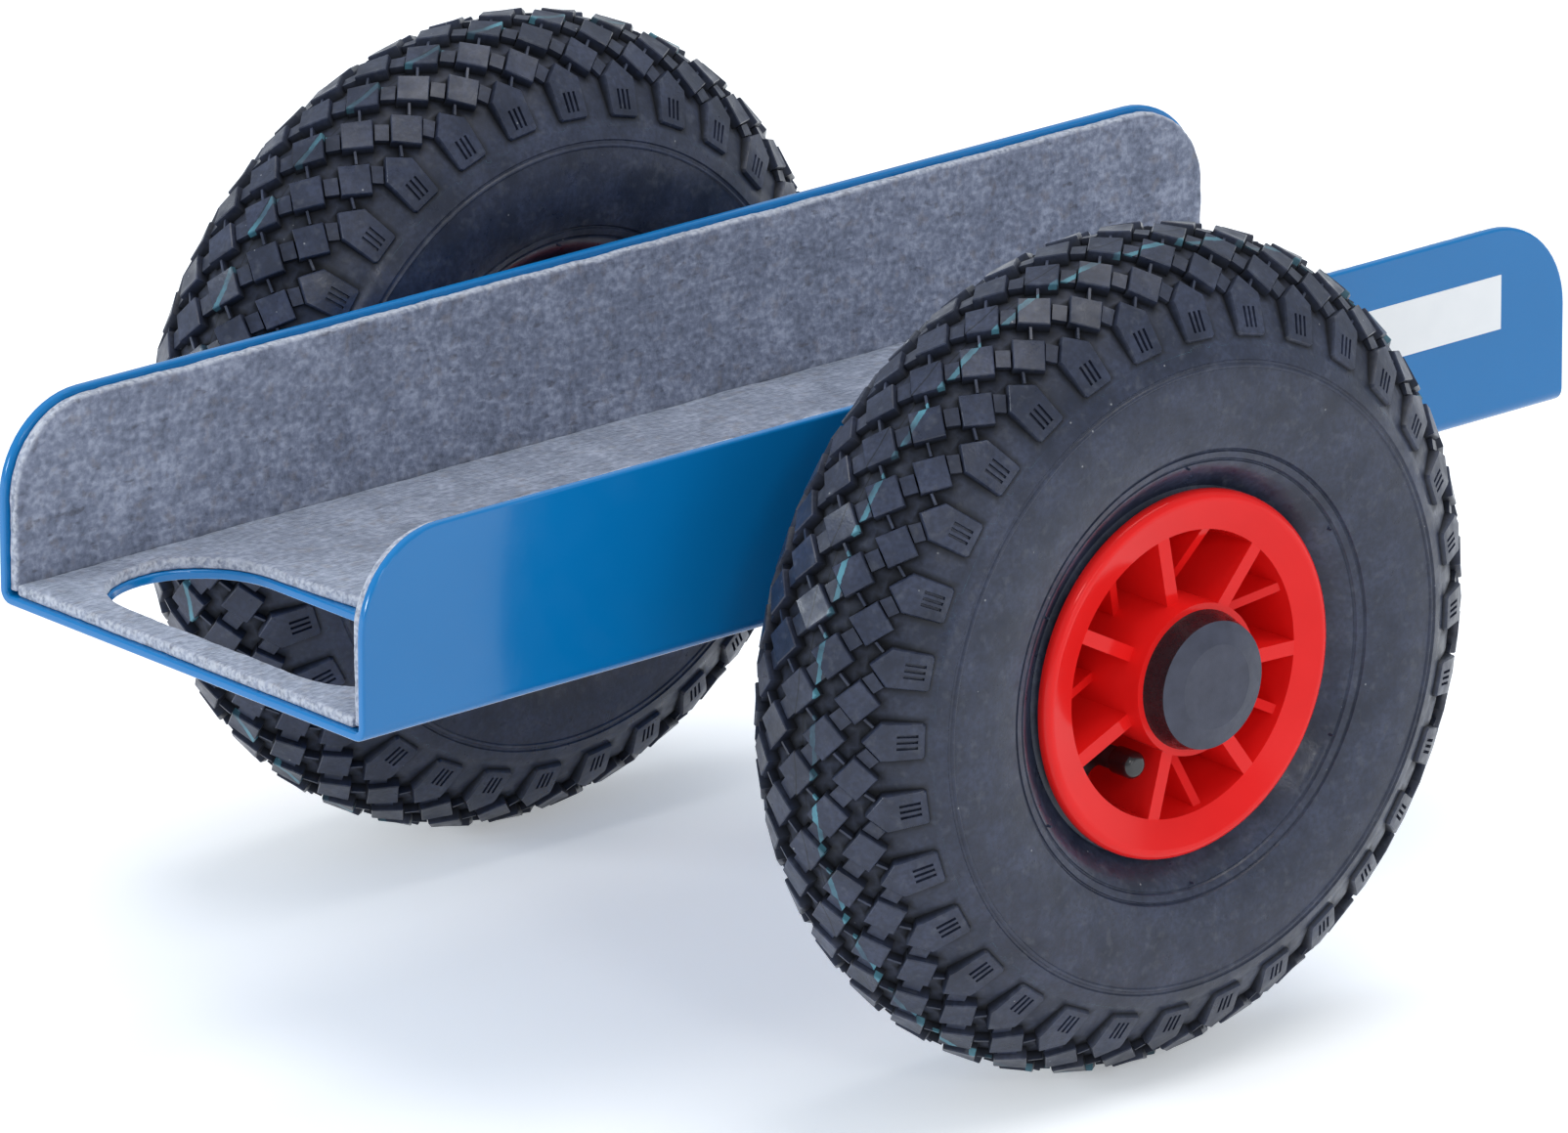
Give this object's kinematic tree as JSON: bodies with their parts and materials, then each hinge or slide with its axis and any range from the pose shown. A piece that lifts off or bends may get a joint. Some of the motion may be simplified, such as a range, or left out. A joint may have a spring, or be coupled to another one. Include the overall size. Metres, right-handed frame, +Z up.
{
  "type": "panel dolly",
  "caption": "Felt-lined steel U-channel with a grip hole, on one axle with a pneumatic wheel at each end, for wheeling a board or door standing on edge.",
  "frame": {"origin": "on the floor, under the middle of the axle", "axes": "+X along the channel, away from its grip hole; +Y along the axle towards the far wheel; +Z up"},
  "size_m": [0.48, 0.3808, 0.26],
  "materials": {
    "blue_paint": "glossy blue powder coat on steel sheet",
    "grey_felt": "mottled blue-grey needle felt",
    "tyre_rubber": "charcoal tyre rubber, satin",
    "tube_rubber": "black butyl rubber",
    "red_plastic": "red moulded plastic, semi-gloss",
    "black_plastic": "black moulded plastic, satin",
    "zinc_steel": "bright zinc-plated steel",
    "bearing_steel": "ground bearing steel",
    "white_label": "blank white vinyl sticker"
  },
  "bodies": {
    "chassis": {"channel": "blue_paint", "floor_felt": "grey_felt", "near_wall_felt": "grey_felt", "far_wall_felt": "grey_felt", "label": "white_label", "axle": "zinc_steel", "axle_welds": "blue_paint", "near_bearing_inner_rings": "bearing_steel", "near_bearing_spacer": "zinc_steel", "near_stop_collar": "zinc_steel", "near_inner_washer": "zinc_steel", "near_outer_washer": "zinc_steel", "near_retaining_ring": "bearing_steel", "far_bearing_inner_rings": "bearing_steel", "far_bearing_spacer": "zinc_steel", "far_stop_collar": "zinc_steel", "far_inner_washer": "zinc_steel", "far_outer_washer": "zinc_steel", "far_retaining_ring": "bearing_steel"},
    "near_wheel": {"near_tyre": "tyre_rubber", "near_inner_tube": "tube_rubber", "near_valve_stem": "tube_rubber", "near_valve_cap": "black_plastic", "near_rim_outer_half": "red_plastic", "near_rim_inner_half": "red_plastic", "near_rim_screws": "zinc_steel", "near_bearing_outer_rings": "bearing_steel", "near_bearing_balls": "bearing_steel", "near_hub_cap": "black_plastic"},
    "far_wheel": {"far_tyre": "tyre_rubber", "far_inner_tube": "tube_rubber", "far_valve_stem": "tube_rubber", "far_valve_cap": "black_plastic", "far_rim_outer_half": "red_plastic", "far_rim_inner_half": "red_plastic", "far_rim_screws": "zinc_steel", "far_bearing_outer_rings": "bearing_steel", "far_bearing_balls": "bearing_steel", "far_hub_cap": "black_plastic"}
  },
  "joints": [
    {"name": "near_wheel_spin", "type": "hinge", "parent": "chassis", "child": "near_wheel", "pos_m": [0, -0.144, 0.13], "axis": [0, 1, 0], "continuous": true},
    {"name": "far_wheel_spin", "type": "hinge", "parent": "chassis", "child": "far_wheel", "pos_m": [0, 0.144, 0.13], "axis": [0, 1, 0], "continuous": true}
  ]
}
